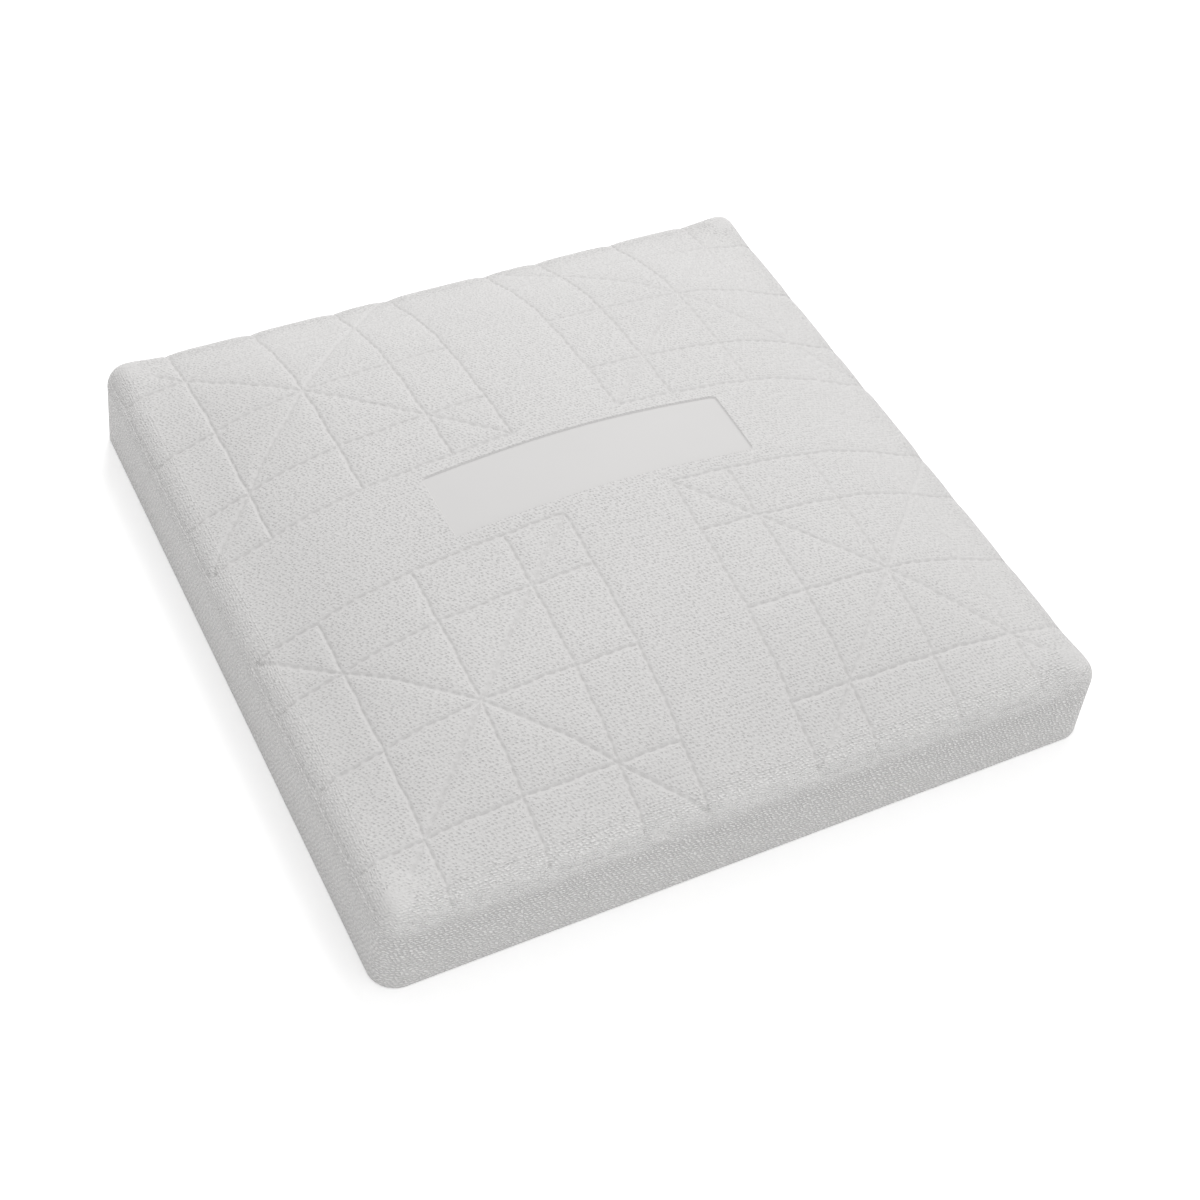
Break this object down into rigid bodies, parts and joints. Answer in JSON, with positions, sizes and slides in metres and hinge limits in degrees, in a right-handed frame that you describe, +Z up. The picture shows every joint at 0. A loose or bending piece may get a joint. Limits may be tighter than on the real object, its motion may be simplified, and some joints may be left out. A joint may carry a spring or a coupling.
{
  "type": "baseball base",
  "caption": "Square crowned field base with a quilted rubber cover over a foam core, a recessed plain panel on top and a square socket underneath for a ground anchor post.",
  "frame": {"origin": "on the ground under the middle of the base", "axes": "+Z up out of the ground, +X along the long way of the recessed panel, +Y away from the edge nearest the viewer in the picture"},
  "size_m": [0.381, 0.381, 0.0867],
  "materials": {
    "white_rubber": "moulded, woven-canvas grain",
    "core_foam": "closed-cell foam",
    "black_board": "fine grained sheet",
    "galvanised_steel": "hot-dip galvanised",
    "zinc_fastener": "bright zinc plated"
  },
  "bodies": {
    "root": {"cover": "white_rubber", "foam_core": "core_foam", "bottom_board": "black_board", "anchor_plate": "galvanised_steel", "socket_tube": "galvanised_steel", "socket_cap": "galvanised_steel", "plate_bolt_1": "zinc_fastener", "plate_bolt_2": "zinc_fastener", "plate_bolt_3": "zinc_fastener", "plate_bolt_4": "zinc_fastener", "plate_washer_1": "zinc_fastener", "plate_washer_2": "zinc_fastener", "plate_washer_3": "zinc_fastener", "plate_washer_4": "zinc_fastener", "flange_nut_1": "zinc_fastener", "flange_nut_2": "zinc_fastener", "flange_nut_3": "zinc_fastener", "flange_nut_4": "zinc_fastener", "rim_screw_1": "zinc_fastener", "rim_screw_2": "zinc_fastener", "rim_screw_3": "zinc_fastener", "rim_screw_4": "zinc_fastener", "rim_screw_5": "zinc_fastener", "rim_screw_6": "zinc_fastener", "rim_screw_7": "zinc_fastener", "rim_screw_8": "zinc_fastener", "rim_washer_1": "zinc_fastener", "rim_washer_2": "zinc_fastener", "rim_washer_3": "zinc_fastener", "rim_washer_4": "zinc_fastener", "rim_washer_5": "zinc_fastener", "rim_washer_6": "zinc_fastener", "rim_washer_7": "zinc_fastener", "rim_washer_8": "zinc_fastener"}
  },
  "joints": []
}
